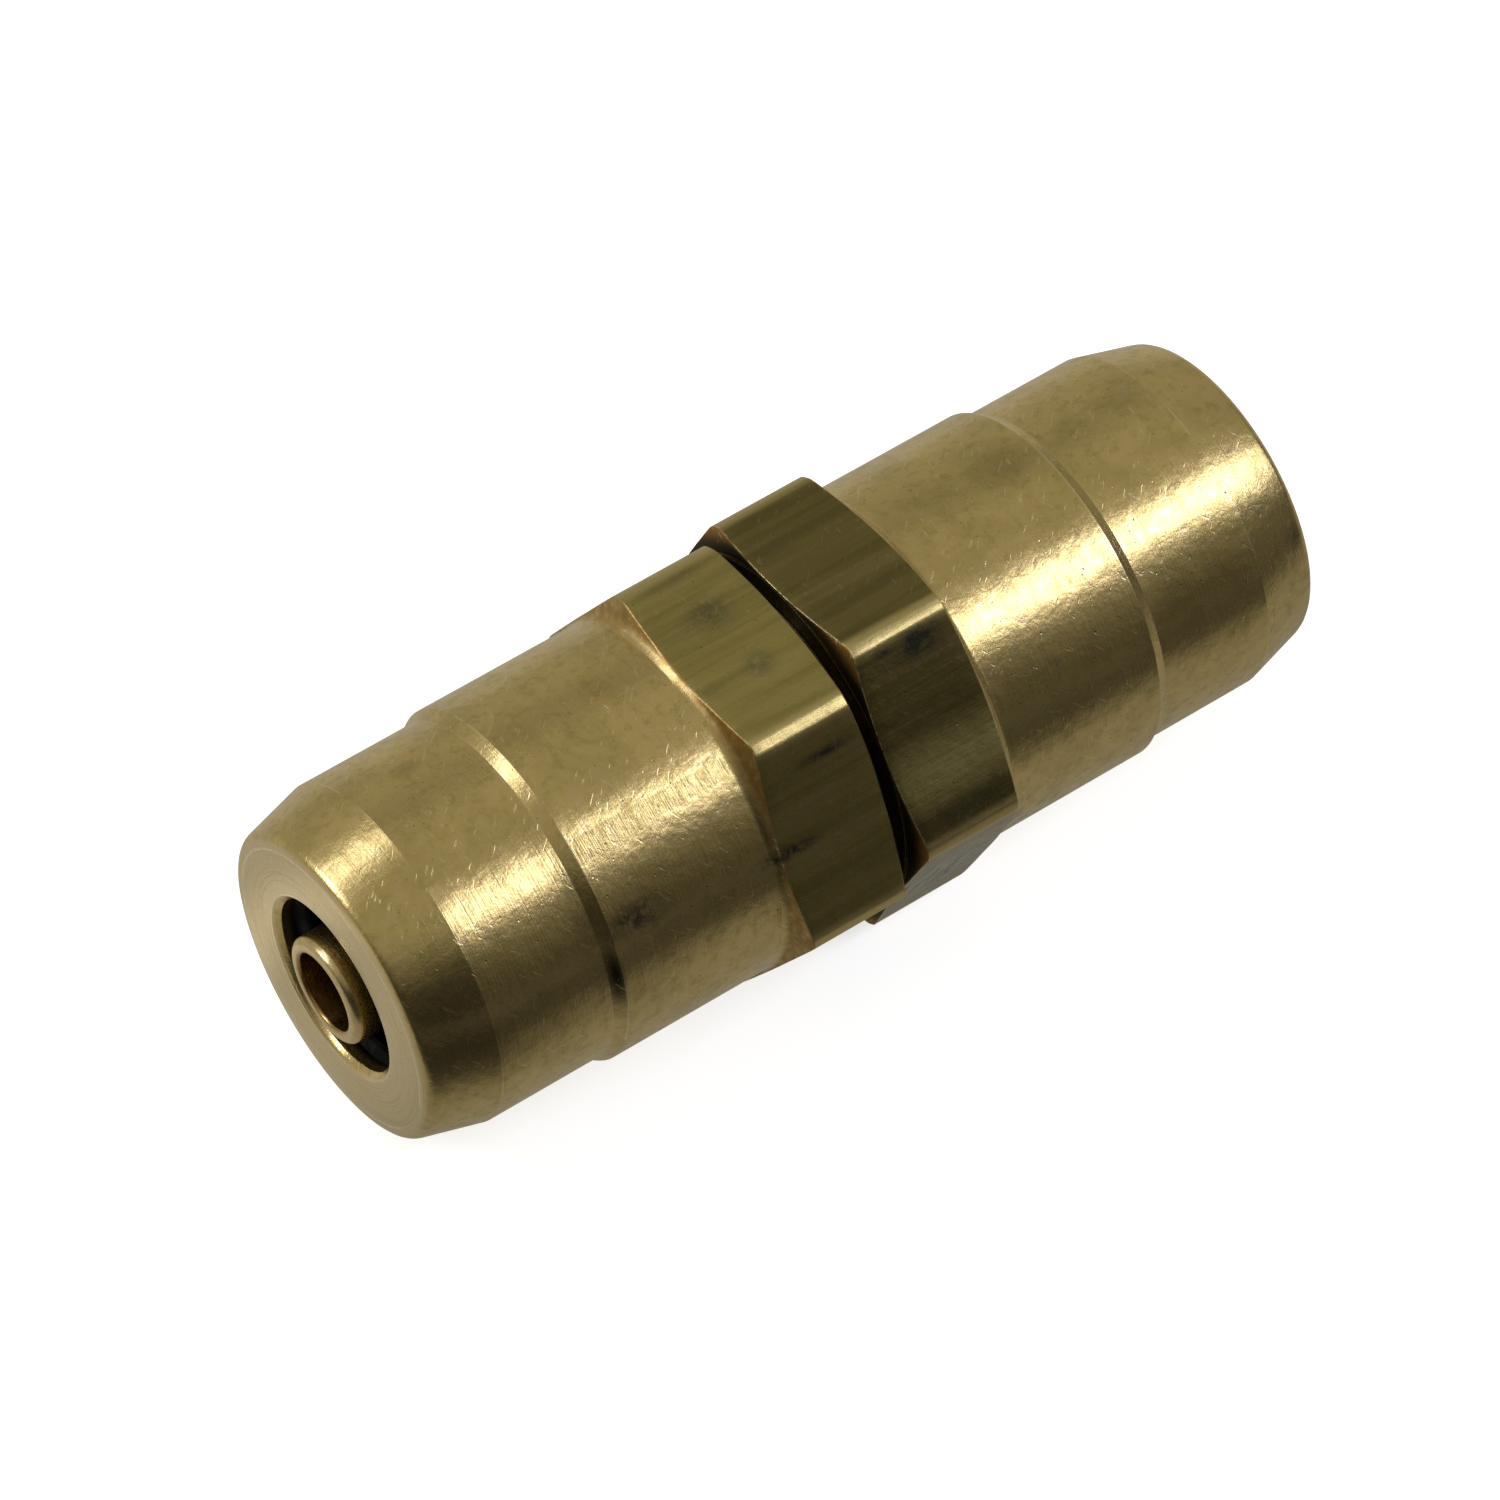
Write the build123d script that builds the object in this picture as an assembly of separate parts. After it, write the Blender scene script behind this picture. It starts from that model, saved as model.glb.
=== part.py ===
from build123d import *
import os

# Push-in straight union for 6 mm plastic air tube, all lengths in mm.
# The axis is X, the middle of the union is the origin, +Z is up.
# Each end piece is drawn at the +X end and turned half a turn about Z for the other end.

os.makedirs("parts", exist_ok=True)

# Coupling nut, outside
across_flats = 13.0
hex_corner_rounding = 0.37
hex_clocking = 4.75
hex_chamfer_slope = 0.268
hex_inner_end = 0.25
hex_outer_end = 4.35
hex_inner_chamfer_radius = 6.6
hex_blank_radius = 8.0
barrel_root_rounding = 0.4
barrel_radius = 6.375
barrel_end = 10.63
nose_radius = 6.125
nose_start = 11.03
cone_start = 15.29
cone_slope = 0.268
nose_face = 17.70
nose_edge_rounding = 0.45

# Coupling nut, inside
mouth_radius = 3.11
mouth_flare = 0.22
wiper_groove_end = 17.05
wiper_groove_start = 15.95
wiper_groove_radius = 4.2
ramp_end = 15.0
ramp_end_radius = 3.5
ramp_start = 12.9
bay_radius = 4.4
bay_start = 7.6
thread_bay_radius = 5.05
nut_thread_crest = 4.46
nut_thread_start = 1.9
nut_thread_end = 6.9

# Screw thread, 10 x 1, right hand at both ends
pitch = 1.0
flank_slope = 0.57735
thread_crest_width = 0.125
body_thread_crest = 4.95
body_thread_root = 4.35
body_thread_start = 1.7
body_thread_end = 6.7
flank_clearance = 0.06
ridge_foot_depth = 0.15

# Central body
collar_radius = 5.6
collar_half_width = 0.23
seal_groove_radius = 4.2
seal_groove_end = 1.2
body_end = 7.5
socket_radius = 3.06
socket_flare = 0.25
socket_floor = 2.0
sleeve_seat_start = 0.6
passage_radius = 1.2

# Support sleeve
sleeve_radius = 1.93
sleeve_bore = 1.4
sleeve_end = 18.0
sleeve_lip_rounding = 0.28
sleeve_inner_rounding = 0.12
sleeve_flange_radius = 2.95
sleeve_flange_end = 2.5

# Rubber seals and plain rings
body_seal_section = 0.8
body_seal_middle = 0.72
body_seal_mean_radius = 4.61
tube_seal_section = 1.34
tube_seal_mean_radius = 3.7
inner_seal_middle = 8.33
spacer_start = 9.03
spacer_end = 9.63
outer_seal_middle = 10.33
washer_start = 11.03
washer_end = 11.73
ring_bore = 3.12
ring_radius = 4.34
ring_edge = 0.12

# Wiper ring
wiper_start = 16.0
wiper_end = 17.0
wiper_radius = 4.15
wiper_lip_radius = 3.02

# Grab ring
grab_travel = 0.6
grab_start = 11.78
grab_gap = 0.03
grab_bore = 3.2
grab_tooth_radius = 2.96
grab_tooth_pitch = 0.7
grab_tooth_count = 3
grab_slot_count = 6
grab_slot_width = 0.5
grab_slot_start = 12.5


def turned(points, roundings=(), splined=()):
    """Solid of revolution about X; points are (axial position, radius).

    The lines that start at the splined points are drawn as straight splines: a flat cut
    through such a cone has no hyperbola in its outline.
    """
    lines = []
    for start, end in zip(points, points[1:] + points[:1]):
        if start in splined:
            middle = ((start[0] + end[0]) / 2, (start[1] + end[1]) / 2)
            lines.append(Spline(start, middle, end))
        else:
            lines.append(Line(start, end))
    face = make_face(Wire(lines))
    for point, radius in roundings:
        corner = face.vertices().sort_by_distance((point[0], point[1], 0))[0]
        face = fillet(corner, radius)
    return revolve(face, Axis.X)


def rubber_ring(middle, mean_radius, section):
    """Round-section ring about X."""
    profile = Pos(middle, mean_radius, 0) * Circle(section / 2)
    return revolve(profile, Axis.X)


def body_ridge_half_width(radius):
    return thread_crest_width / 2 + (body_thread_crest - radius) * flank_slope


def nut_ridge_half_width(radius):
    return pitch / 2 - body_ridge_half_width(radius) - flank_clearance


def thread_ridge(start, end, foot, crest, half_width, lead_angle):
    """Right-hand helical ridge about X; half_width gives its half width at a radius."""
    outline = Polyline(
        (foot, -half_width(foot)),
        (crest, -half_width(crest)),
        (crest, half_width(crest)),
        (foot, half_width(foot)),
        close=True,
    )
    section = Plane.XZ * make_face(outline)
    path = Helix(pitch=pitch, height=end - start, radius=foot)
    ridge = sweep(section, path=path, is_frenet=True)
    turn = 360 * start / pitch + lead_angle
    return Pos(start, 0, 0) * Rot(0, 90, 0) * Rot(0, 0, turn) * ridge


def plain_ring(start, end, inner, outer, edge):
    """Ring about X with both outer edges chamfered."""
    return turned(
        [
            (start, inner),
            (end, inner),
            (end, outer - edge),
            (end - edge, outer),
            (start + edge, outer),
            (start, outer - edge),
        ]
    )


def make_central_body():
    half = [
        (sleeve_seat_start, passage_radius),
        (sleeve_seat_start, sleeve_radius),
        (socket_floor, sleeve_radius),
        (socket_floor, socket_radius),
        (body_end - socket_flare, socket_radius),
        (body_end, socket_radius + socket_flare),
        (body_end, body_thread_root - 0.25),
        (body_end - 0.25, body_thread_root),
        (seal_groove_end, body_thread_root),
        (seal_groove_end, seal_groove_radius),
        (collar_half_width, seal_groove_radius),
        (collar_half_width, collar_radius),
    ]
    mirrored = [(-x, r) for x, r in reversed(half)]
    body = turned(half + mirrored)
    ridge = thread_ridge(
        body_thread_start,
        body_thread_end,
        body_thread_root - ridge_foot_depth,
        body_thread_crest,
        body_ridge_half_width,
        0,
    )
    return body + ridge + Rot(0, 0, 180) * ridge


def make_nut():
    hex_rise = hex_blank_radius - barrel_radius
    inner_rise = hex_blank_radius - hex_inner_chamfer_radius
    cone_drop = (nose_face - cone_start) * cone_slope
    face_corner = (nose_face, nose_radius - cone_drop)
    barrel_root = (hex_outer_end, barrel_radius)
    inner_chamfer_top = (hex_inner_end + inner_rise * hex_chamfer_slope, hex_blank_radius)
    profile = [
        (hex_inner_end, thread_bay_radius),
        (bay_start, thread_bay_radius),
        (bay_start, bay_radius + 0.15),
        (bay_start + 0.15, bay_radius),
        (ramp_start, bay_radius),
        (ramp_end, ramp_end_radius),
        (wiper_groove_start, ramp_end_radius),
        (wiper_groove_start, wiper_groove_radius),
        (wiper_groove_end, wiper_groove_radius),
        (wiper_groove_end, mouth_radius),
        (nose_face - mouth_flare, mouth_radius),
        (nose_face, mouth_radius + mouth_flare),
        face_corner,
        (cone_start, nose_radius),
        (nose_start, nose_radius),
        (barrel_end, barrel_radius),
        barrel_root,
        (hex_outer_end - hex_rise * hex_chamfer_slope, hex_blank_radius),
        inner_chamfer_top,
        (hex_inner_end, hex_inner_chamfer_radius),
    ]
    roundings = [
        (face_corner, nose_edge_rounding),
        (barrel_root, barrel_root_rounding),
    ]
    blank = turned(profile, roundings, splined=(barrel_root, inner_chamfer_top))
    hexagon = RegularPolygon(across_flats / 3 ** 0.5, 6, rotation=-hex_clocking)
    hexagon = fillet(hexagon.vertices(), hex_corner_rounding)
    bar = extrude(Plane.YZ * hexagon, amount=sleeve_end)
    ridge = thread_ridge(
        nut_thread_start,
        nut_thread_end,
        thread_bay_radius + ridge_foot_depth,
        nut_thread_crest,
        nut_ridge_half_width,
        180,
    )
    return (blank & bar) + ridge


def make_support_sleeve():
    outer_lip = (sleeve_end, sleeve_radius)
    inner_lip = (sleeve_end, sleeve_bore)
    profile = [
        (sleeve_seat_start, sleeve_bore),
        inner_lip,
        outer_lip,
        (sleeve_flange_end, sleeve_radius),
        (sleeve_flange_end, sleeve_flange_radius),
        (socket_floor, sleeve_flange_radius),
        (socket_floor, sleeve_radius),
        (sleeve_seat_start, sleeve_radius),
    ]
    roundings = [
        (outer_lip, sleeve_lip_rounding),
        (inner_lip, sleeve_inner_rounding),
    ]
    return turned(profile, roundings)


def make_wiper():
    return turned(
        [
            (wiper_start, wiper_radius),
            (wiper_start, wiper_radius - 0.6),
            (wiper_start + 0.25, wiper_radius - 0.6),
            (wiper_start + 0.45, wiper_lip_radius),
            (wiper_start + 0.65, wiper_lip_radius),
            (wiper_end, wiper_lip_radius + 0.35),
            (wiper_end, wiper_radius),
        ]
    )


def make_grab_ring():
    shift = grab_travel + grab_gap
    cone_start_x = ramp_start - shift
    cone_end_x = ramp_end - shift
    profile = [
        (grab_start, grab_bore),
        (grab_start, ring_radius),
        (cone_start_x, ring_radius),
        (cone_end_x, ramp_end_radius - (bay_radius - ring_radius)),
        (cone_end_x, grab_bore),
    ]
    ring = turned(profile)
    for index in range(grab_tooth_count):
        tip = cone_end_x - 0.1 - index * grab_tooth_pitch
        tooth = turned(
            [
                (tip, grab_bore + 0.02),
                (tip, grab_tooth_radius),
                (tip - 0.4, grab_bore + 0.02),
            ]
        )
        ring += tooth
    slot_length = ramp_end - grab_slot_start
    for index in range(grab_slot_count):
        slot = Box(
            slot_length,
            grab_slot_width,
            bay_radius * 2,
            align=(Align.MIN, Align.CENTER, Align.MIN),
        )
        ring -= Rot(index * 360 / grab_slot_count, 0, 0) * Pos(grab_slot_start, 0, 0) * slot
    return ring


end_pieces = {
    "coupling_nut": make_nut(),
    "support_sleeve": make_support_sleeve(),
    "body_seal": rubber_ring(body_seal_middle, body_seal_mean_radius, body_seal_section),
    "inner_tube_seal": rubber_ring(inner_seal_middle, tube_seal_mean_radius, tube_seal_section),
    "seal_spacer": plain_ring(spacer_start, spacer_end, ring_bore, ring_radius, ring_edge),
    "outer_tube_seal": rubber_ring(outer_seal_middle, tube_seal_mean_radius, tube_seal_section),
    "backing_washer": plain_ring(washer_start, washer_end, ring_bore, ring_radius, ring_edge),
    "grab_ring": make_grab_ring(),
    "wiper_ring": make_wiper(),
}

export_step(make_central_body(), "parts/central_body.step")
for name, piece in end_pieces.items():
    export_step(piece, f"parts/right_{name}.step")
    export_step(Rot(0, 0, 180) * piece, f"parts/left_{name}.step")
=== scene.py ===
import math

import bpy
from mathutils import Matrix, Vector, noise


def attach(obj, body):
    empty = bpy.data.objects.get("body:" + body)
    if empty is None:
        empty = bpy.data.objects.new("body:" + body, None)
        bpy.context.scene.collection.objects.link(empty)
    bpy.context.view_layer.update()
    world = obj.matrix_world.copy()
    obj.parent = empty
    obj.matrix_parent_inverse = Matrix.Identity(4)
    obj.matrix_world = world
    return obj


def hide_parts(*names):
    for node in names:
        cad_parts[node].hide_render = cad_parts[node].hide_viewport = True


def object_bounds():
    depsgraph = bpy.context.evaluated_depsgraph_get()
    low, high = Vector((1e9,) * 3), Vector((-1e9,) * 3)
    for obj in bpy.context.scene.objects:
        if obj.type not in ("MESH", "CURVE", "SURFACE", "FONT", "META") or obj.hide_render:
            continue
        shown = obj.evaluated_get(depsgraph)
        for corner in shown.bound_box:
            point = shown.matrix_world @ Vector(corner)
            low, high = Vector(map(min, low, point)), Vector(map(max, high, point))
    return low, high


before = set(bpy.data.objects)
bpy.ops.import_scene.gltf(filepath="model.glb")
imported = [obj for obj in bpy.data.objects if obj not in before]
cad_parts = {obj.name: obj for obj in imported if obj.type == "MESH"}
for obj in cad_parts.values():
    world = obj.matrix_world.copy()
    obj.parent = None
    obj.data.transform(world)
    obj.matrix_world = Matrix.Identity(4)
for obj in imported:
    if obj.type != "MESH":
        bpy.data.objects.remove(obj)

# Push-in straight union for plastic air tube, in brass. Shapes below are in mm along the axis
# and out from it, drawn at the +X end and turned half a turn for the other end.

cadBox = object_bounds()
mm = 0.001
sides = ("left", "right")
print("frame loaded:", len(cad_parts), "nodes")


class Signal:
    def __init__(self, bench, socket):
        self.bench = bench
        self.socket = socket

    def maths(self, kind, first, second=None):
        values = {0: first} if second is None else {0: first, 1: second}
        return self.bench.node("ShaderNodeMath", {"operation": kind}, values)

    def __add__(self, other):
        return self.maths("ADD", self, other)

    def __radd__(self, other):
        return self.maths("ADD", other, self)

    def __sub__(self, other):
        return self.maths("SUBTRACT", self, other)

    def __rsub__(self, other):
        return self.maths("SUBTRACT", other, self)

    def __mul__(self, other):
        return self.maths("MULTIPLY", self, other)

    def __rmul__(self, other):
        return self.maths("MULTIPLY", other, self)

    def __pow__(self, other):
        return self.maths("POWER", self, other)

    def __abs__(self):
        return self.maths("ABSOLUTE", self)


class Bench:
    def __init__(self, name, shelf=bpy.data.materials):
        self.owner = shelf.new(name)
        self.owner.use_nodes = True
        self.tree = self.owner.node_tree
        self.tree.nodes.clear()

    def node(self, kind, settings=None, inputs=None, out=0):
        made = self.tree.nodes.new(kind)
        for key, value in (settings or {}).items():
            if key == "stops":
                ramp = made.color_ramp.elements
                for index, (place, tone) in enumerate(value):
                    stop = ramp[index] if index < 2 else ramp.new(place)
                    stop.position = place
                    stop.color = (tone, tone, tone, 1) if isinstance(tone, (int, float)) else (*tone, 1)
            else:
                setattr(made, key, value)
        for key, value in (inputs or {}).items():
            if isinstance(value, Signal):
                self.tree.links.new(value.socket, made.inputs[key])
            else:
                made.inputs[key].default_value = value
        return Signal(self, made.outputs[out]) if made.outputs else None

    def place(self):
        # the point on the piece, in mm
        raw = self.node("ShaderNodeTexCoord", out="Object")
        return self.node("ShaderNodeVectorMath", {"operation": "SCALE"}, {0: raw, "Scale": 1000.0})

    def split(self, vector):
        return [self.node("ShaderNodeSeparateXYZ", None, {0: vector}, axis) for axis in "XYZ"]

    def join(self, x, y, z):
        return self.node("ShaderNodeCombineXYZ", None, {"X": x, "Y": y, "Z": z})

    def grain(self, vector, scale, detail=2.0, rough=0.5, twist=0.0):
        inputs = {"Vector": vector, "Scale": scale, "Detail": detail, "Roughness": rough}
        inputs["Distortion"] = twist
        return self.node("ShaderNodeTexNoise", None, inputs)

    def streaks(self, along, y, z, rates, detail=3.0, rough=0.6):
        # grain drawn out one way, by how often it changes along the axis and across it
        vector = self.join(along * rates[0], y * rates[1], z * rates[1])
        return self.grain(vector, 1.0, detail, rough)

    def cells(self, vector, scale):
        return self.node("ShaderNodeTexVoronoi", None, {"Vector": vector, "Scale": scale})

    def ease(self, value, low, high, start=0.0, end=1.0):
        # smooth step of value from low to high
        settings = {"interpolation_type": "SMOOTHSTEP"}
        inputs = {"Value": value, "From Min": low, "From Max": high, "To Min": start, "To Max": end}
        return self.node("ShaderNodeMapRange", settings, inputs)

    def hump(self, value, centre, width):
        # 1 at the centre, 0 a width away
        return self.ease(abs(value - centre), 0.0, width, 1.0, 0.0)

    def blend(self, first, second, amount, kind="MIX"):
        first = first if isinstance(first, Signal) else (*first, 1)
        second = second if isinstance(second, Signal) else (*second, 1)
        settings = {"data_type": "RGBA", "blend_type": kind, "clamp_factor": True}
        return self.node("ShaderNodeMix", settings, {0: amount, 6: first, 7: second}, 2)

    def spot(self, vector, centre, reach, stretch=(1.0, 1.0, 1.0)):
        # soft patch round a point of the piece
        away = self.node("ShaderNodeVectorMath", {"operation": "SUBTRACT"}, {0: vector, 1: centre})
        away = self.node("ShaderNodeVectorMath", {"operation": "MULTIPLY"}, {0: away, 1: stretch})
        gap = self.node("ShaderNodeVectorMath", {"operation": "LENGTH"}, {0: away}, "Value")
        return self.ease(gap, 0.0, reach, 1.0, 0.0)

    def bump(self, height, depth, under=None):
        inputs = {"Height": height, "Strength": 1.0, "Distance": depth * mm}
        if under is not None:
            inputs["Normal"] = under
        return self.node("ShaderNodeBump", None, inputs)

    def finish(self, colour, roughness, normal=None, metallic=1.0, **rest):
        inputs = {"Base Color": colour, "Roughness": roughness, "Metallic": metallic}
        if normal is not None:
            inputs["Normal"] = normal
        inputs.update(rest)
        if not isinstance(colour, Signal):
            inputs["Base Color"] = (*colour, 1)
        shader = self.node("ShaderNodeBsdfPrincipled", None, inputs)
        self.node("ShaderNodeOutputMaterial", None, {"Surface": shader})
        return self.owner


brassLook = {
    "base": (0.70, 0.533, 0.232),
    "olive": (0.40, 0.315, 0.115),
    "pink": (0.70, 0.54, 0.33),
    "face": (0.73, 0.585, 0.345),
    # pale: painted reflected light on the right nut's lower flat
    "pale": (0.62, 0.52, 0.22),
    "brown": (0.34, 0.19, 0.050),
    "worn": (0.84, 0.69, 0.42),
    # rim: colour of the painted highlight rings on the face
    "rim": (0.95, 0.84, 0.58),
    "corner": (0.64, 0.51, 0.22),
    # grimeAndShade: dark of real grit, pits and hatching, and also of painted shade in the mouth, inside
    # the nut, in the gap and deep on the sleeve
    "grimeAndShade": (0.030, 0.024, 0.012),
    "drawn": (0.40, 0.325, 0.115),
    "smudge": (0.075, 0.078, 0.070),
    "chalk": (0.34, 0.35, 0.33),
    "shadow": (0.10, 0.085, 0.040),
    # painted shade: the right nut's flats are made darker than the left's
    "flatPaintedShade": {"left": 1.0, "right": 0.52},
    "shoulderBrown": {"left": 0.62, "right": 0.25},
    "roughness": 0.25,
    "sleeveRoughness": 0.27,
    "machinedRoughness": 0.28,
    "body": ((0.55, 0.42, 0.19), (0.33, 0.25, 0.10)),
    "inner": ((0.60, 0.47, 0.24), (0.38, 0.29, 0.13)),
}

# changes per mm along the axis and across it: lathe lines run round it, drawn lines along it
rates = {
    "lathe": (16.0, 0.22),
    "latheFine": (52.0, 0.9),
    "draw": (0.16, 6.0),
    "bands": (0.10, 1.7),
    "drawFine": (0.5, 30.0),
    "sleeve": (22.0, 0.4),
    "machined": (20.0, 0.5),
}

# how deep each grain cuts, in mm
depths = {
    "mottle": 0.0095,
    "grit": 0.0028,
    "lathe": 0.0062,
    "latheFine": 0.0016,
    "draw": 0.006,
    "drawFine": 0.003,
    "pits": 0.008,
    "innerMottle": 0.010,
    "innerLathe": 0.005,
    "innerGrit": 0.003,
    "rubber": 0.006,
}

# where a look fades in or out, from and to, in mm along the axis or out from it
zones = {
    "flatOut": (6.38, 6.44),
    "cornerOut": (7.22, 7.36),
    "mouthOut": (3.6, 3.45),
    "mouthAlong": (17.55, 17.05),
    "insideOut": (5.3, 5.1),
    "insideAlong": (16.9, 16.6),
    "faceLines": (17.6, 17.68),
    "faceTone": (17.62, 17.69),
    "faceRims": (17.5, 17.6),
    "gapAlong": (0.56, 0.50),
    "gapOut": (7.30, 6.75),
    "burrOut": (6.46, 6.50),
    "shoulderEnd": (4.56, 4.34),
    "shoulderStart": (0.56, 0.62),
    "sleeveLip": (17.6, 17.8),
    "sleeveDeep": (16.4, 15.2),
    "sleeveBore": (1.56, 1.42),
    "sleeveSide": (1.7, 1.9),
}

# how far out the two rings of painted highlight on the face are, and how far each fades
glintRings = ((5.02, 0.09), (3.36, 0.07))


# stains, rubbed places, painted shadows (shadow) and a painted band of reflected light (pale) on each
# nut: mm along the axis, degrees round it from the top towards the back, mm out from it, reach, how much
# along and across count, tone, strength
stainsAndShading = {
    "left": [
        (-1.7, -44, 6.9, 1.4, 0.8, 4.5, "smudge", 0.85),
        (-3.9, -66, 6.4, 1.3, 0.7, 3.2, "smudge", 1.00),
        (-2.1, 8, 6.6, 1.3, 1.0, 1.2, "smudge", 0.45),
        (-1.9, -14, 6.5, 1.0, 1.2, 1.2, "smudge", 0.40),
        (-2.2, 22, 7.0, 1.1, 0.4, 2.6, "shadow", 0.70),
        (-9.6, -60, 6.4, 1.3, 0.7, 1.5, "smudge", 0.70),
        (-10.8, -75, 6.3, 1.5, 4.5, 1.0, "shadow", 0.85),
        (-13.2, 18, 6.1, 0.9, 1.0, 1.5, "shadow", 0.25),
    ],
    "right": [
        (2.8, -31, 7.1, 1.2, 0.9, 1.5, "smudge", 1.10),
        (1.5, -29, 7.2, 0.5, 1.0, 1.6, "smudge", 0.80),
        # painted light: a pale band where this flat mirrors light, with a painted shadow band below it
        (2.6, -66, 6.6, 1.7, 0.25, 1.0, "pale", 0.75),
        (2.6, -79, 6.9, 0.7, 0.14, 1.1, "shadow", 0.75),
        (2.3, -115, 6.5, 2.9, 0.6, 1.0, "chalk", 0.85),
        (7.2, -56, 6.4, 0.3, 1.0, 1.0, "chalk", 0.45),
        (17.2, -62, 5.8, 0.8, 1.2, 1.2, "smudge", 0.50),
        (9.4, 7, 6.4, 1.6, 1.0, 0.8, "shadow", 0.22),
    ],
}


def nutBrass(side):
    look = brassLook
    bench = Bench(side + "NutBrass")
    place = bench.place()
    x, y, z = bench.split(place)
    along = abs(x)
    out = (y * y + z * z) ** 0.5
    # distance from the sloping shoulders of the hexagon, so that its flats stand alone
    rootAlong, rootOut = nut["root"]
    outerSlope = along + (out - rootOut) * nut["slope"] - rootAlong
    innerSlope = along - (out - nut["innerChamfer"]) * nut["slope"] - nut["innerEnd"]
    flats = bench.ease(outerSlope, -0.05, -0.02, 1.0, 0.0) * bench.ease(innerSlope, 0.01, 0.04)
    flats = flats * bench.ease(out, *zones["flatOut"])
    turned = 1.0 - flats
    path = along - out
    lathe = bench.streaks(path, y, z, rates["lathe"])
    latheFine = bench.streaks(path, y, z, rates["latheFine"], 2.0, 0.5)
    draw = bench.streaks(x, y, z, rates["draw"])
    bands = bench.streaks(x, y, z, rates["bands"], 2.0, 0.5)
    drawFine = bench.streaks(x, y, z, rates["drawFine"], 2.0, 0.5)
    clouds = bench.grain(place, 0.55, 3.0, 0.55, 0.4)
    mottle = bench.grain(place, 2.6, 4.0, 0.62)
    grit = bench.grain(place, 9.0, 3.0, 0.6)
    pits = bench.ease(bench.cells(place, 3.1), 0.0, 0.16, 1.0, 0.0)
    pits = pits * bench.ease(bench.grain(place, 1.1), 0.52, 0.62)
    # short scratches in two directions
    slant = bench.join((x + y) * 0.9, (x - y) * 8.0, (z + x * 0.4) * 3.0)
    cross = bench.join((x - z) * 0.8, (x + z) * 7.0, (y - x * 0.3) * 2.6)
    nicks = bench.ease(bench.grain(slant, 1.0, 0.0), 0.74, 0.82)
    nicks = nicks + bench.ease(bench.grain(cross, 1.0, 0.0), 0.75, 0.83)
    # rubbed outer edges: end of the barrel, start of the nose and start of the cone
    edges = bench.hump(along, nut["barrelEnd"], 0.06) * bench.ease(bench.grain(place, 0.8), 0.4, 0.55)
    edges = edges + bench.hump(along, nut["noseStart"], 0.05) * 0.5
    cone = bench.hump(along, nut["coneStart"], 0.05)
    edges = edges + cone * bench.ease(bench.grain(place, 0.9), 0.42, 0.58)
    corners = bench.ease(out, *zones["cornerOut"]) * bench.ease(draw, 0.25, 0.50, 0.6, 1.0)
    # painted shade: mouth and inside mark the mouth's bore and the nut's interior, which are darkened
    # below
    mouth = bench.ease(out, *zones["mouthOut"]) * bench.ease(along, *zones["mouthAlong"])
    faceLines = bench.ease(along, *zones["faceLines"]) * bench.ease(lathe, 0.50, 0.66)
    rims = bench.hump(out, *glintRings[0]) + bench.hump(out, *glintRings[1])
    rims = rims * bench.ease(along, *zones["faceRims"]) * bench.ease(grit, 0.3, 0.5)
    inside = bench.ease(out, *zones["insideOut"]) * bench.ease(along, *zones["insideAlong"])
    # painted shade in the narrow gap between the two nuts: their facing ends are painted brown, and
    # near-black further in
    gapFace = turned * bench.ease(along, *zones["gapAlong"])
    gapDark = gapFace * bench.ease(out, *zones["gapOut"])
    # a pale line on the flats, just beside the inner chamfer
    burr = bench.hump(innerSlope, 0.05, 0.032) * bench.ease(out, *zones["burrOut"])
    burr = burr * bench.ease(bench.grain(place, 4.0), 0.40, 0.55)
    shoulders = turned * bench.ease(along, *zones["shoulderEnd"])
    shoulders = shoulders * bench.ease(along, *zones["shoulderStart"])
    crescents = shoulders * bench.ease(mottle, 0.35, 0.55, 0.6, 1.0)

    colour = bench.blend(look["base"], look["olive"], bench.ease(clouds, 0.42, 0.66) * 0.30)
    colour = bench.blend(colour, look["olive"], bench.ease(mottle, 0.48, 0.70) * 0.48)
    colour = bench.blend(colour, look["pink"], bench.ease(mottle, 0.46, 0.34) * 0.4)
    colour = bench.blend(colour, look["face"], bench.ease(along, *zones["faceTone"]) * 0.9)
    colour = bench.blend(colour, look["olive"], faceLines * 0.30)
    # the right nut's flats get painted shade through flatPaintedShade
    drawn = [part * look["flatPaintedShade"][side] for part in look["drawn"]]
    dark = [part * 0.45 for part in drawn]
    colour = bench.blend(colour, drawn, flats * 0.92)
    colour = bench.blend(colour, dark, flats * bench.ease(bands, 0.44, 0.66) * 0.35)
    colour = bench.blend(colour, look["pink"], flats * bench.ease(bands, 0.46, 0.32) * 0.10)
    colour = bench.blend(colour, dark, flats * bench.ease(draw, 0.50, 0.72) * 0.24)
    # painted highlight along the face's outer edge and along the edge of the mouth
    rimGlint = bench.ease(rims, 0.1, 0.9) * bench.ease(clouds, 0.35, 0.60, 0.15, 0.75)
    colour = bench.blend(colour, look["rim"], rimGlint)
    # browner shoulders between the flats and the barrel, stronger on the left nut
    colour = bench.blend(colour, look["brown"], crescents * look["shoulderBrown"][side])
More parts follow.
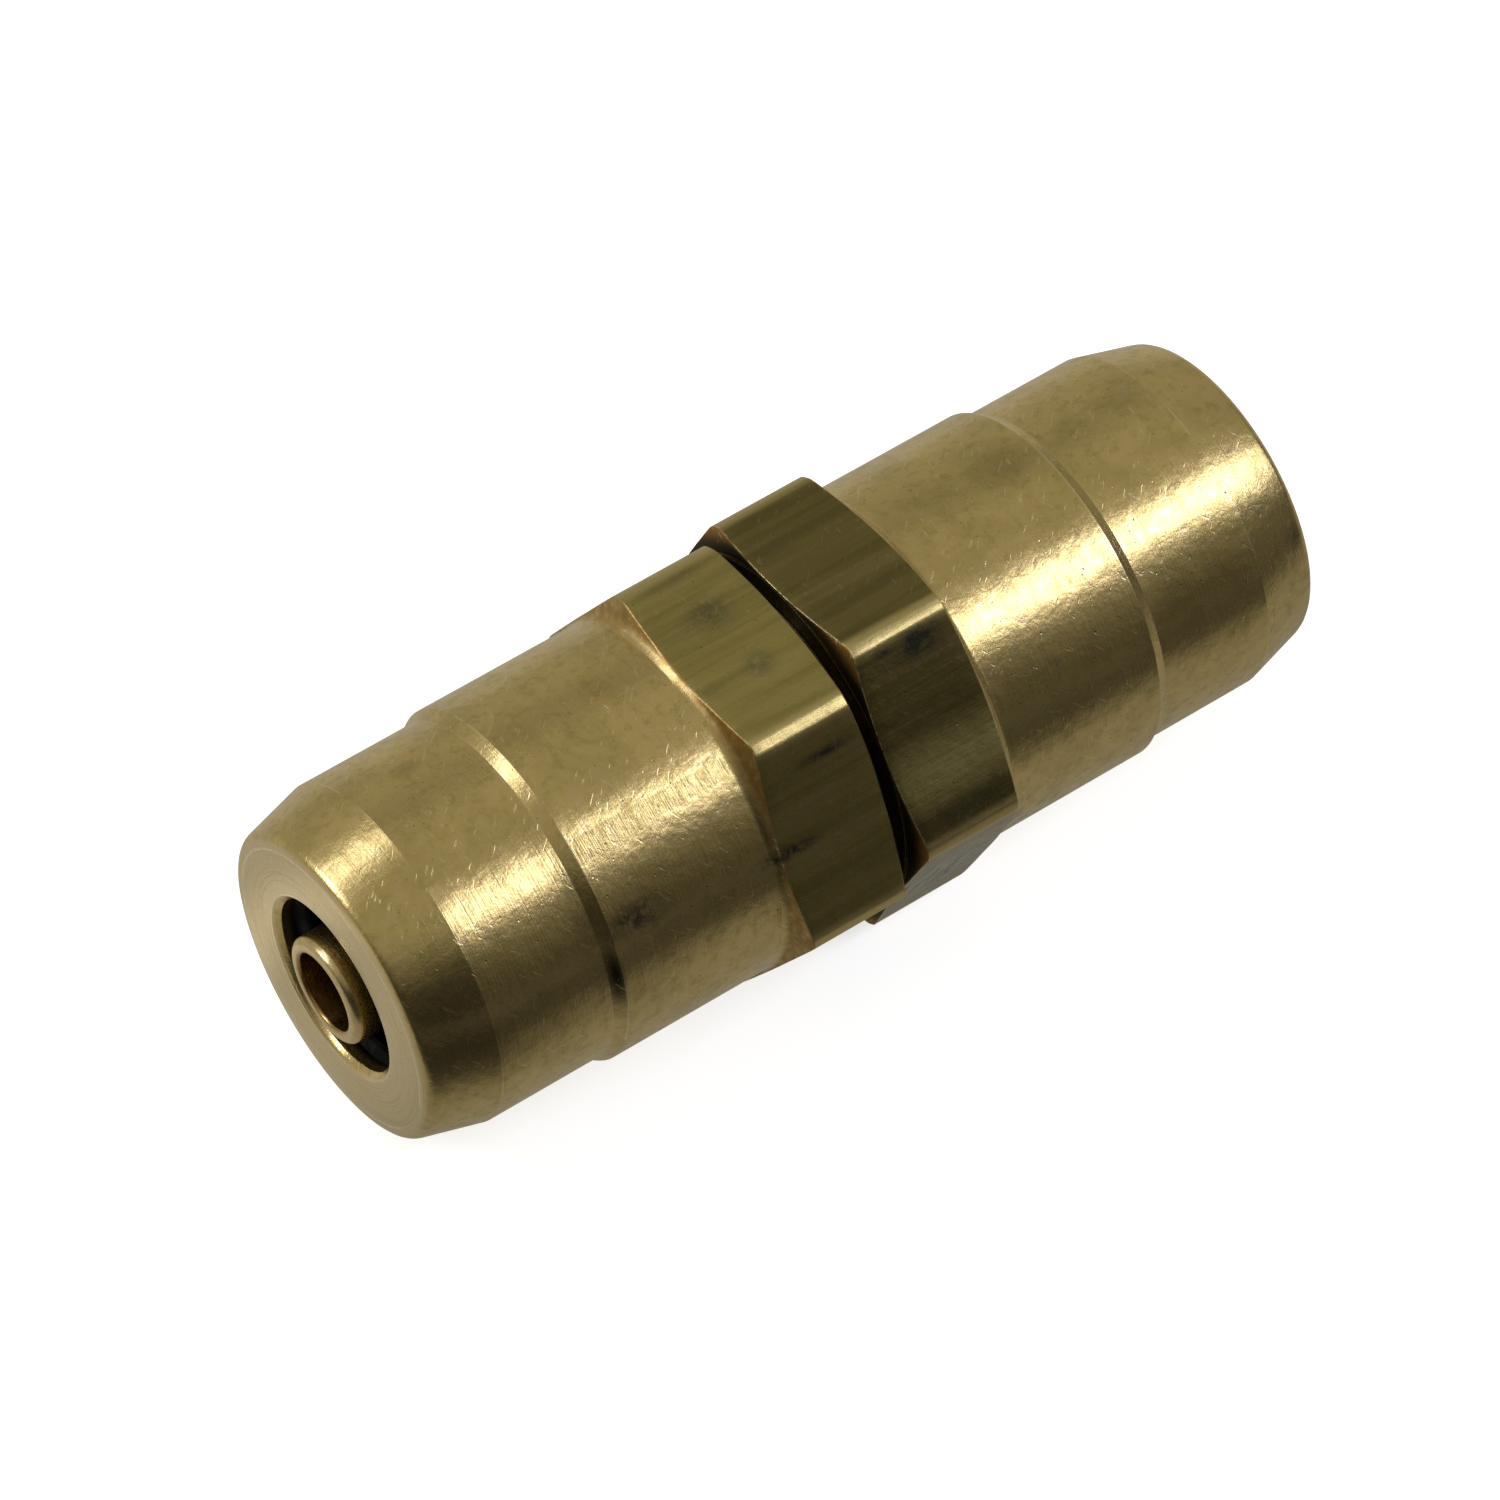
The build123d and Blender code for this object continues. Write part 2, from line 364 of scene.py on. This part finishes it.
    # painted shade: the nuts' facing ends in the gap, in brown
    colour = bench.blend(colour, look["brown"], gapFace)
    colour = bench.blend(colour, look["worn"], bench.ease(edges, 0.1, 0.9) * 0.7)
    colour = bench.blend(colour, look["corner"], corners * flats * 0.75)
    patchy = bench.ease(mottle, 0.36, 0.54, 0.25, 1.0) * bench.ease(grit, 0.36, 0.50, 0.5, 1.0)
    for ahead, turn, far, reach, byLength, byWidth, tone, strength in stainsAndShading[side]:
        turn = math.radians(turn)
        centre = (ahead, far * math.sin(turn), far * math.cos(turn))
        patch = bench.spot(place, centre, reach, (byLength, byWidth, byWidth)) * (strength * 1.25)
        if tone in ("smudge", "chalk"):
            patch = patch * patchy
        colour = bench.blend(colour, look[tone], patch)
        if tone == "chalk":
            hatch = bench.grain(bench.join((x + y * 0.7) * 7.0, (x * 0.7 - y) * 0.6, z * 0.6), 1.0, 1.0)
            colour = bench.blend(colour, look["grimeAndShade"], patch * bench.ease(hatch, 0.50, 0.56, 0.0, 1.4))
    colour = bench.blend(colour, look["grimeAndShade"], bench.ease(grit, 0.66, 0.76) * (1.0 - gapFace) * 0.6)
    colour = bench.blend(colour, look["grimeAndShade"], pits * 0.75)
    nicks = nicks * (1.0 - flats * 0.75)
    colour = bench.blend(colour, look["worn"], nicks * 0.45)
    # painted shade in the mouth, inside the nut and deep in the gap between the two nuts
    colour = bench.blend(colour, look["grimeAndShade"], mouth * 0.96)
    colour = bench.blend(colour, look["grimeAndShade"], inside * 0.85)
    colour = bench.blend(colour, look["grimeAndShade"], gapDark * 0.94)
    if side == "right":
        colour = bench.blend(colour, look["worn"], burr * 0.75)

    roughness = look["roughness"] + (mottle - 0.5) * 0.18 + (grit - 0.5) * 0.10 + flats * 0.04
    roughness = roughness + (lathe - 0.5) * 0.12 * turned + (draw - 0.5) * 0.12 * flats
    roughness = roughness + corners * flats * 0.09 + mouth * 0.25 + shoulders * 0.22 + gapFace * 0.35
    # the gap's face and the nose face are smoother than the rest
    calm = 1.0 - gapFace * 0.9 - bench.ease(along, *zones["faceLines"]) * 0.55
    dents = bench.grain(place, 1.7, 2.0, 0.5, 0.3)
    normal = bench.bump((mottle + clouds + dents * 1.4) * calm, depths["mottle"])
    normal = bench.bump(grit * calm, depths["grit"], normal)
    normal = bench.bump(lathe * turned * calm, depths["lathe"], normal)
    normal = bench.bump(latheFine * turned * calm, depths["latheFine"], normal)
    normal = bench.bump(draw * flats, depths["draw"], normal)
    normal = bench.bump(drawFine * flats, depths["drawFine"], normal)
    normal = bench.bump((pits + nicks * 0.35) * calm * -1.0, depths["pits"], normal)
    return bench.finish(colour, roughness, normal)


def sleeveBrass():
    look = brassLook
    bench = Bench("sleeveBrass")
    place = bench.place()
    x, y, z = bench.split(place)
    along = abs(x)
    out = (y * y + z * z) ** 0.5
    lathe = bench.streaks(along - out, y, z, rates["sleeve"])
    mottle = bench.grain(place, 2.6, 4.0, 0.6)
    grit = bench.grain(place, 11.0, 3.0, 0.6)
    # painted shade on the sleeve's outside, deeper inside the nut
    deep = bench.ease(along, *zones["sleeveDeep"])
    colour = bench.blend(look["base"], look["olive"], bench.ease(mottle, 0.48, 0.66) * 0.7)
    colour = bench.blend(colour, look["pink"], bench.ease(along, *zones["sleeveLip"]) * 0.5)
    colour = bench.blend(colour, look["grimeAndShade"], bench.ease(grit, 0.70, 0.80) * 0.3)
    # painted shade inside the sleeve's bore, in brown, and on its outside deeper in
    colour = bench.blend(colour, look["brown"], bench.ease(out, *zones["sleeveBore"]) * 0.80)
    colour = bench.blend(colour, look["grimeAndShade"], deep * bench.ease(out, *zones["sleeveSide"]) * 0.9)
    roughness = look["sleeveRoughness"] + (mottle - 0.5) * 0.2 + (lathe - 0.5) * 0.14
    normal = bench.bump(mottle, depths["innerMottle"])
    normal = bench.bump(lathe, depths["innerLathe"], normal)
    normal = bench.bump(grit, depths["innerGrit"], normal)
    return bench.finish(colour, roughness, normal)


def machinedBrass(name, tone, shade):
    # cut threads, spacers and rings inside
    bench = Bench(name)
    place = bench.place()
    x, y, z = bench.split(place)
    out = (y * y + z * z) ** 0.5
    lathe = bench.streaks(abs(x) - out, y, z, rates["machined"])
    mottle = bench.grain(place, 1.6, 4.0, 0.6)
    grit = bench.grain(place, 10.0, 3.0, 0.6)
    colour = bench.blend(tone, shade, bench.ease(mottle, 0.42, 0.68) * 0.7)
    colour = bench.blend(colour, brassLook["grimeAndShade"], bench.ease(grit, 0.63, 0.74) * 0.6)
    roughness = brassLook["machinedRoughness"] + (mottle - 0.5) * 0.2 + (lathe - 0.5) * 0.15
    normal = bench.bump(mottle, depths["innerMottle"])
    normal = bench.bump(lathe, depths["innerLathe"], normal)
    return bench.finish(colour, roughness, normal)


rubberLook = {
    "black": (0.008, 0.008, 0.008),
    "dusty": (0.026, 0.025, 0.022),
    "roughness": 0.72,
    "gloss": 0.10,
}


def blackRubber():
    bench = Bench("blackRubber")
    place = bench.place()
    grit = bench.grain(place, 14.0, 3.0, 0.6)
    dust = bench.grain(place, 1.8, 4.0, 0.6)
    colour = bench.blend(rubberLook["black"], rubberLook["dusty"], bench.ease(dust, 0.45, 0.75))
    roughness = rubberLook["roughness"] + (dust - 0.5) * 0.3
    gloss = {"Specular IOR Level": rubberLook["gloss"]}
    return bench.finish(colour, roughness, bench.bump(grit, depths["rubber"]), 0.0, **gloss)


arcStep = math.radians(14)


def rounded(points):
    # outline through (along, out, rounding) points, with each rounding as a short arc
    outline = []
    count = len(points)
    for index in range(count):
        here = Vector(points[index][:2])
        size = points[index][2]
        if size == 0:
            outline.append(here)
            continue
        back = (Vector(points[index - 1][:2]) - here).normalized()
        ahead = (Vector(points[(index + 1) % count][:2]) - here).normalized()
        angle = back.angle(ahead)
        run = size / math.tan(angle / 2)
        start = here + back * run
        end = here + ahead * run
        centre = here + (back + ahead).normalized() * (size / math.sin(angle / 2))
        sweep = math.pi - angle
        steps = max(2, round(sweep / arcStep))
        spokeA = start - centre
        spokeB = end - centre
        for step in range(steps + 1):
            share = step / steps
            a = math.sin((1 - share) * sweep) / math.sin(sweep)
            b = math.sin(share * sweep) / math.sin(sweep)
            outline.append(centre + spokeA * a + spokeB * b)
    return outline


def divided(outline, longest):
    # adds points where two neighbours are far apart; the last point isn't joined to the first
    made = [outline[0]]
    for start, end in zip(outline, outline[1:]):
        pieces = max(1, math.ceil((end - start).length / longest))
        for step in range(1, pieces + 1):
            made.append(start.lerp(end, step / pieces))
    return made


def ringMesh(name, columns, side):
    # columns: list of (angle, [(along, out), ...]) round the axis, each a closed outline
    turn = -1 if side == "left" else 1
    verts = []
    for angle, outline in columns:
        for point in outline:
            y = point[1] * math.cos(angle)
            z = point[1] * math.sin(angle)
            verts.append((turn * point[0] * mm, turn * y * mm, z * mm))
    rows = len(columns[0][1])
    total = len(columns)
    faces = []
    for column in range(total):
        here = column * rows
        after = (column + 1) % total * rows
        for row in range(rows):
            below = (row + 1) % rows
            faces.append((here + row, after + row, after + below, here + below))
    mesh = bpy.data.meshes.new(name)
    mesh.from_pydata(verts, [], faces)
    mesh.update()
    volume = 0.0
    for face in mesh.polygons:
        volume += face.center.dot(face.normal) * face.area
    if volume < 0:
        mesh.flip_normals()
    mesh.shade_smooth()
    piece = bpy.data.objects.new(name, mesh)
    bpy.context.scene.collection.objects.link(piece)
    even = piece.modifiers.new("evenShading", "WEIGHTED_NORMAL")
    even.mode = "FACE_AREA"
    even.weight = 60
    even.keep_sharp = True
    return piece


# lengths in mm, angles in degrees
nut = {
    "acrossFlats": 13.0,
    "crown": 1.5,
    "bevelSoftness": 0.03,
    "bevelHalf": 4.4,
    "cornerTops": {
        "left": (7.40, 7.395, 7.31, 7.40, 7.42, 7.39),
        "right": (7.40, 7.35, 7.395, 7.40, 7.41, 7.39),
    },
    "clocking": -4.75,
    "innerEnd": 0.25,
    "innerChamfer": 6.6,
    "leastChamfer": 0.14,
    "slope": 0.268,
    "root": (4.35, 6.375),
    "rootRounding": 0.4,
    "edge": 0.04,
    "edgeWobble": 0.35,
    "barrelEnd": 10.63,
    "noseStart": 11.03,
    "nose": 6.125,
    "coneStart": 15.29,
    "face": (17.70, 5.479),
    "faceRounding": 0.45,
    "mouth": 3.11,
    "flare": 0.22,
    "wiperSeat": (15.95, 17.05),
    "wiperSeatOut": 4.2,
    "lipBore": 3.5,
    "rampMouth": 15.0,
    "rampFoot": 12.9,
    "ringBore": 4.4,
    "ringBoreEnd": 7.75,
    "bayTop": 7.6,
    "baySlope": 0.15,
    "bayLast": 7.2,
    "bayEdge": 0.05,
    "threadBay": 5.05,
    "threadCrest": 4.46,
    "threadFrom": 1.9,
    "threadTo": 6.9,
    "threadRow": 0.0625,
    "crestHalf": 0.0946,
    "flank": 0.57735,
    "threadPitch": 1.0,
    "fadeRows": 3,
    "wear": 0.03,
    "wearFrom": 7.2,
    "cornerStep": 0.35,
    "flatStart": 4.3,
    "flatSteps": 12,
}


def hexEdge(angle, side):
    # distance from the axis to the hexagon, whose corners are worn to crowned bevels
    sector = math.radians(60)
    lean = (angle - math.radians(nut["clocking"])) % (6 * sector)
    corner = round(lean / sector)
    fromCorner = abs(lean - corner * sector)
    flat = nut["acrossFlats"] / 2 / math.cos(sector / 2 - fromCorner)
    if fromCorner > math.radians(nut["bevelHalf"]):
        return flat
    crown = nut["crown"]
    centre = nut["cornerTops"][side][corner % 6] - crown
    bevel = centre * math.cos(fromCorner) + math.sqrt(crown ** 2 - (centre * math.sin(fromCorner)) ** 2)
    soft = nut["bevelSoftness"]
    mix = max(0.0, soft - abs(flat - bevel)) / soft
    return min(flat, bevel) - mix * mix * soft / 4


def nutAngles():
    # close together over the six corners, wide apart over the flats
    half = 30
    first = nut["flatStart"]
    count = nut["flatSteps"]
    steps = [step * nut["cornerStep"] for step in range(9)] + [first - 1.0, first]
    steps += [first + (half - first) * step / count for step in range(1, count + 1)]
    sector = sorted({-step for step in steps if step < half} | set(steps))
    angles = []
    for corner in range(6):
        for step in sector:
            angles.append(math.radians(nut["clocking"] + corner * 60 + step))
    return angles


def shoulder():
    # the rounded root of the hexagon and its sloping shoulder, by distance from the barrel
    corner = Vector(nut["root"])
    size = nut["rootRounding"]
    climb = Vector((-nut["slope"], 1)).normalized()
    run = Vector((1, 0))
    angle = climb.angle(run)
    centre = corner + (climb + run).normalized() * (size / math.sin(angle / 2))
    sweep = math.pi - angle
    top = centre + Vector((-math.sin(sweep), -math.cos(sweep))) * size

    def point(distance):
        if distance < sweep * size:
            turn = distance / size
            return centre + Vector((-math.sin(turn), -math.cos(turn))) * size
        return top + climb * (distance - sweep * size)

    def reach(out):
        if out < top.y:
            return math.acos((centre.y - out) / size) * size
        return sweep * size + (out - top.y) / climb.y

    return point, reach


def innerSide(out):
    return nut["innerEnd"] + max(0.0, out - nut["innerChamfer"]) * nut["slope"]


def bezier(start, corner, end, share):
    return start.lerp(corner, share).lerp(corner.lerp(end, share), share)


def roundNoise(angle, waves, seed):
    return noise.noise(Vector((math.cos(angle) * waves, math.sin(angle) * waves, seed)))


def hexPart(angle, point, reach, side):
    # from the inner face over the flat down to the barrel
    edge = nut["edge"] * (1 + nut["edgeWobble"] * roundNoise(angle, 9, 1.7))
    rim = hexEdge(angle, side)
    wear = roundNoise(angle, 6, 4.1)
    rim -= nut["wear"] * max(0.0, wear + 0.2) * max(0.0, rim - nut["wearFrom"]) / 0.2
    low = min(nut["innerChamfer"], rim - nut["leastChamfer"])
    bay = nut["threadBay"] + nut["bayEdge"]
    made = []
    for share in (0.0, 0.3, 0.65, 1.0):
        made.append(Vector((nut["innerEnd"], bay + (low - bay) * share)))
    for share in (0.35, 0.7, 1.0):
        out = low + (rim - edge - low) * share
        made.append(Vector((innerSide(out), out)))
    corner = Vector((innerSide(rim), rim))
    start = made[-1]
    end = corner + Vector((edge, 0))
    for share in (0.3, 0.6):
        made.append(bezier(start, corner, end, share))
    top = point(reach(rim))
    last = Vector((top.x - edge, rim))
    for step in range(9):
        made.append(end.lerp(last, step / 8))
    lower = reach(rim - edge)
    foot = point(lower)
    for share in (0.35, 0.68):
        made.append(bezier(last, top, foot, share))
    for step in range(13):
        made.append(point(lower * (1 - step / 12)))
    return made


def nutMesh(side):
    face = nut["face"]
    seatStart, seatEnd = nut["wiperSeat"]
    outer = rounded([
        (nut["root"][0], nut["root"][1], 0),
        (nut["barrelEnd"], nut["root"][1], 0.07),
        (nut["noseStart"], nut["nose"], 0.05),
        (nut["coneStart"], nut["nose"], 0.12),
        (face[0], face[1], nut["faceRounding"]),
        (face[0], nut["mouth"] + nut["flare"], 0.05),
        (face[0] - nut["flare"], nut["mouth"], 0.06),
        (seatEnd, nut["mouth"], 0.03),
        (seatEnd, nut["wiperSeatOut"], 0.03),
        (seatStart, nut["wiperSeatOut"], 0.03),
        (seatStart, nut["lipBore"], 0.03),
        (nut["rampMouth"], nut["lipBore"], 0.05),
        (nut["rampFoot"], nut["ringBore"], 0.05),
        (nut["ringBoreEnd"], nut["ringBore"], 0.05),
        (nut["bayTop"], nut["ringBore"] + nut["baySlope"], 0.03),
        (nut["bayTop"], nut["threadBay"], 0.03),
        (nut["bayLast"], nut["threadBay"], 0),
    ])[1:]
    outer = divided(outer, 0.9)
    point, reach = shoulder()
    rows = round((nut["threadTo"] - nut["threadFrom"]) / nut["threadRow"])
    columns = []
    for angle in nutAngles():
        outline = hexPart(angle, point, reach, side) + outer
        for row in range(rows + 1):
            along = nut["threadTo"] - row * nut["threadRow"]
            offset = (along / nut["threadPitch"] - (math.degrees(angle) / 360 - 0.25)) % 1.0
            offset = min(offset, 1 - offset) * nut["threadPitch"]
            out = nut["threadCrest"] + max(0.0, offset - nut["crestHalf"]) / nut["flank"]
            fade = min(1.0, row / nut["fadeRows"], (rows - row) / nut["fadeRows"])
            out = nut["threadBay"] - max(0.0, nut["threadBay"] - out) * fade
            outline.append(Vector((along, out)))
        outline.append(Vector((nut["innerEnd"] + nut["bayEdge"], nut["threadBay"])))
        columns.append((angle, outline))
    return ringMesh(side + "_nut_shell", columns, side)


sleeve = {
    "radius": 1.93,
    "bore": 1.4,
    "start": 0.6,
    "end": 18.0,
    "outerLip": 0.28,
    "innerLip": 0.12,
    "flange": (2.0, 2.5),
    "flangeRadius": 2.95,
    "columns": 128,
}


def sleeveMesh(side):
    # a thin tube with a rolled lip and a flange that seats in the body
    flangeStart, flangeEnd = sleeve["flange"]
    outline = rounded([
        (sleeve["start"], sleeve["bore"], 0),
        (sleeve["end"], sleeve["bore"], sleeve["innerLip"]),
        (sleeve["end"], sleeve["radius"], sleeve["outerLip"]),
        (flangeEnd, sleeve["radius"], 0.04),
        (flangeEnd, sleeve["flangeRadius"], 0.05),
        (flangeStart, sleeve["flangeRadius"], 0.05),
        (flangeStart, sleeve["radius"], 0.02),
        (sleeve["start"], sleeve["radius"], 0.02),
    ])
    outline = divided(outline, 1.2)
    count = sleeve["columns"]
    columns = [(2 * math.pi * index / count, outline) for index in range(count)]
    return ringMesh(side + "_sleeve_tube", columns, side)


wiper = {
    "start": 16.0,
    "end": 17.0,
    "radius": 4.15,
    "rim": 0.6,
    "lip": 3.02,
    "lipSpan": (0.45, 0.65),
    "web": 0.25,
    "coneHeight": 0.35,
    "columns": 96,
}


def wiperMesh(side):
    start = wiper["start"]
    lipStart, lipEnd = wiper["lipSpan"]
    web = wiper["radius"] - wiper["rim"]
    outline = rounded([
        (start, wiper["radius"], 0.06),
        (start, web, 0.06),
        (start + wiper["web"], web, 0.08),
        (start + lipStart, wiper["lip"], 0.05),
        (start + lipEnd, wiper["lip"], 0.05),
        (wiper["end"], wiper["lip"] + wiper["coneHeight"], 0.08),
        (wiper["end"], wiper["radius"], 0.06),
    ])
    count = wiper["columns"]
    columns = [(2 * math.pi * index / count, outline) for index in range(count)]
    return ringMesh(side + "_wiper_lip", columns, side)


def backVector(azimuth, elevation):
    a = math.radians(azimuth)
    e = math.radians(elevation)
    return Vector((math.sin(a) * math.cos(e), -math.cos(a) * math.cos(e), math.sin(e)))


view = {
    "lens": 193.08,
    "sensor": 36.0,
    "distance": 0.26164,
    "azimuth": -34.662,
    "elevation": 50.223,
    "roll": -1.510,
    "aim": (-0.001087, 0.000273, -0.000328),
}


def makeCamera():
    data = bpy.data.cameras.new("camera")
    data.lens = view["lens"]
    data.sensor_width = view["sensor"]
    data.clip_start = 0.01
    data.clip_end = 20.0
    back = backVector(view["azimuth"], view["elevation"])
    level = Vector((math.cos(math.radians(view["azimuth"])), math.sin(math.radians(view["azimuth"])), 0))
    upright = back.cross(level)
    roll = math.radians(view["roll"])
    right = math.cos(roll) * level + math.sin(roll) * upright
    up = -math.sin(roll) * level + math.cos(roll) * upright
    camera = bpy.data.objects.new("camera", data)
    turned = Matrix((right, up, back)).transposed().to_4x4()
    camera.matrix_world = Matrix.Translation(Vector(view["aim"]) + back * view["distance"]) @ turned
    bpy.context.scene.collection.objects.link(camera)
    bpy.context.scene.camera = camera


makeCamera()
print("camera set")

rubber = blackRubber()
sleeveFinish = sleeveBrass()
bodyFinish = machinedBrass("bodyBrass", *brassLook["body"])
innerFinish = machinedBrass("innerBrass", *brassLook["inner"])

for side in sides:
    shell = nutMesh(side)
    shell.data.materials.append(nutBrass(side))
    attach(shell, side + "_nut")
    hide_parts(side + "_coupling_nut")
    tube = sleeveMesh(side)
    tube.data.materials.append(sleeveFinish)
    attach(tube, "union_body")
    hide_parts(side + "_support_sleeve")
    lip = wiperMesh(side)
    lip.data.materials.append(rubber)
    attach(lip, side + "_nut")
    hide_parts(side + "_wiper_ring")
    print(side, "nut faces:", len(shell.data.polygons))

kept = {
    "central_body": bodyFinish,
    "seal_spacer": innerFinish,
    "backing_washer": innerFinish,
    "grab_ring": innerFinish,
    "body_seal": rubber,
    "inner_tube_seal": rubber,
    "outer_tube_seal": rubber,
}
for name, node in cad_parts.items():
    for ending, finish in kept.items():
        if name.endswith(ending):
            node.data.materials.clear()
            node.data.materials.append(finish)
print("pieces made")

# tilt is towards +X and turn is round the axis from straight up, towards +Y, in degrees
studio = {
    "key": {"tilt": 38.0, "turn": -34.8, "size": (0.52, 0.18), "power": 1.12, "tone": (1.0, 1.03, 1.22)},
    "back": {"tilt": -27.0, "turn": 31.0, "size": (0.52, 0.16), "power": 0.62, "tone": (1.0, 1.02, 1.15)},
    "side": {"tilt": -47.0, "turn": 46.0, "size": (0.16, 0.13), "power": 0.62, "tone": (1.0, 1.02, 1.10)},
    "away": 0.60,
    "floor": (0.86, 0.86, 0.85),
    "floorCast": (0.82, 0.82, 0.81),
    "floorGlow": 0.72,
    "floorReach": 3.0,
    "backdrop": (0.95, 0.95, 0.95),
    "sheenReach": 0.6,
    "sheenDrop": 0.00002,
    "sheen": {"near": 0.29, "far": 0.035, "behind": 0.44, "horizon": 0.05, "leftGlow": 0.22},
    "air": ((0.0, 0.02), (0.34, 0.045), (0.60, 0.34), (1.0, 0.42)),
    "airLean": (0.0, 0.6, 1.0),
    "airRange": (-0.6, 1.17),
    "airTone": (1.0, 0.96, 0.76),
    "dip": {"to": (0.364, 0.66, 0.66), "reach": 0.40, "by": 0.35},
    "fill": {"to": (0.60, -0.75, 0.38), "reach": 0.66, "by": 0.155},
}

# where the glow of the lower floor sheet changes, in mm to the right of the middle or behind it
glowPlaces = {
    "leftFade": (-17.0, 0.0),
    "frontShade": (-8.0, -15.0),
    "near": (-25.0, -11.5),
    "horizon": (-40.0, -80.0),
    "behind": (-5.0, 4.0),
    "leftEnd": (-14.0, -19.0),
    "leftEndDepth": (-12.0, -2.0),
    "leftGlow": (8.0, 2.6),
}


def softBox(name, light):
    tilt = math.radians(light["tilt"])
    turn = math.radians(light["turn"])
    out = Vector((0, math.sin(turn), math.cos(turn)))
    to = Vector((math.sin(tilt), 0, 0)) + out * math.cos(tilt)
    long = Vector((math.cos(tilt), 0, 0)) - out * math.sin(tilt)
    data = bpy.data.lights.new(name, "AREA")
    data.shape = "RECTANGLE"
    data.size, data.size_y = light["size"]
    data.energy = light["power"]
    data.color = light["tone"]
    lamp = bpy.data.objects.new(name, data)
    facing = Matrix((long, to.cross(long), to)).transposed().to_4x4()
    lamp.matrix_world = Matrix.Translation(to * studio["away"]) @ facing
    bpy.context.scene.collection.objects.link(lamp)


softBox("keyBox", studio["key"])
softBox("backBox", studio["back"])
softBox("sideBox", studio["side"])


def flatSheet(name, height, reach, finish):
    mesh = bpy.data.meshes.new(name)
    square = ((-reach, -reach), (reach, -reach), (reach, reach), (-reach, reach))
    corners = [(x, y, height) for x, y in square]
    mesh.from_pydata(corners, [], [(0, 1, 2, 3)])
    mesh.materials.append(finish)
    sheet = bpy.data.objects.new(name, mesh)
    bpy.context.scene.collection.objects.link(sheet)
    return sheet


def makeFloor():
    # one sheet is what is seen, the other is what the brass mirrors: pale close by, dim further off
    bench = Bench("paleFloor")
    cast = bench.grain(bench.place(), 0.02, 2.0)
    colour = bench.blend(studio["floor"], studio["floorCast"], bench.ease(cast, 0.4, 0.7))
    glow = {"Emission Color": (1, 1, 1, 1), "Emission Strength": studio["floorGlow"]}
    low = cadBox[0][2]
    floor = flatSheet("floor", low, studio["floorReach"], bench.finish(colour, 0.75, None, 0.0, **glow))
    floor.visible_glossy = False
    bench = Bench("floorSheen")
    sheen = studio["sheen"]
    x, y = bench.split(bench.place())[:2]
    fade = bench.ease(x, *glowPlaces["leftFade"], 0.9, 0.0)
    shade = 1.0 - fade * bench.ease(y, *glowPlaces["frontShade"])
    tone = bench.ease(y, *glowPlaces["near"], sheen["far"], sheen["near"]) * shade
    tone = tone + bench.ease(y, *glowPlaces["horizon"]) * sheen["horizon"]
    tone = tone + bench.ease(y, *glowPlaces["behind"]) * (sheen["behind"] - sheen["near"])
    leftEnd = bench.ease(x, *glowPlaces["leftEnd"]) * bench.ease(y, *glowPlaces["leftEndDepth"])
    tone = tone + leftEnd * bench.hump(y, *glowPlaces["leftGlow"]) * sheen["leftGlow"]
    grey = bench.join(tone, tone * 0.95, tone * 0.80)
    glow = {"Emission Color": grey, "Emission Strength": 1.0}
    finish = bench.finish((0.02, 0.02, 0.02), 1.0, None, 0.0, **glow)
    gloss = flatSheet("floorSheen", low - studio["sheenDrop"], studio["sheenReach"], finish)
    gloss.visible_camera = False
    gloss.visible_diffuse = False
    gloss.visible_shadow = False
    gloss.visible_transmission = False


makeFloor()


def makeWorld():
    # dim above and behind, dark low down in front, as in a small studio tent
    bench = Bench("studioAir", bpy.data.worlds)
    way = bench.node("ShaderNodeTexCoord", out="Generated")
    dot = {"operation": "DOT_PRODUCT"}
    lean = bench.node("ShaderNodeVectorMath", dot, {0: way, 1: studio["airLean"]}, "Value")
    low, high = studio["airRange"]
    height = bench.node("ShaderNodeMapRange", None, {"Value": lean, "From Min": low, "From Max": high})
    stops = [(stop, [tone * part for part in studio["airTone"]]) for stop, tone in studio["air"]]
    colour = bench.node("ShaderNodeValToRGB", {"stops": stops}, {"Fac": height})
    dip = studio["dip"]
    fill = studio["fill"]
    dimmed = 1.0 - bench.spot(way, Vector(dip["to"]).normalized(), dip["reach"]) * dip["by"]
    lit = bench.spot(way, fill["to"], fill["reach"]) * fill["by"]
    colour = bench.blend(colour, studio["airTone"], lit, "ADD")
    air = bench.node("ShaderNodeBackground", None, {"Color": colour, "Strength": dimmed})
    pale = bench.node("ShaderNodeBackground", None, {"Color": (*studio["backdrop"], 1)})
    seen = bench.node("ShaderNodeLightPath", out="Is Camera Ray")
    both = bench.node("ShaderNodeMixShader", None, {0: seen, 1: air, 2: pale})
    bench.node("ShaderNodeOutputWorld", None, {"Surface": both})
    bpy.context.scene.world = bench.owner


makeWorld()
bpy.context.scene.view_settings.view_transform = "Standard"
print("studio lit")
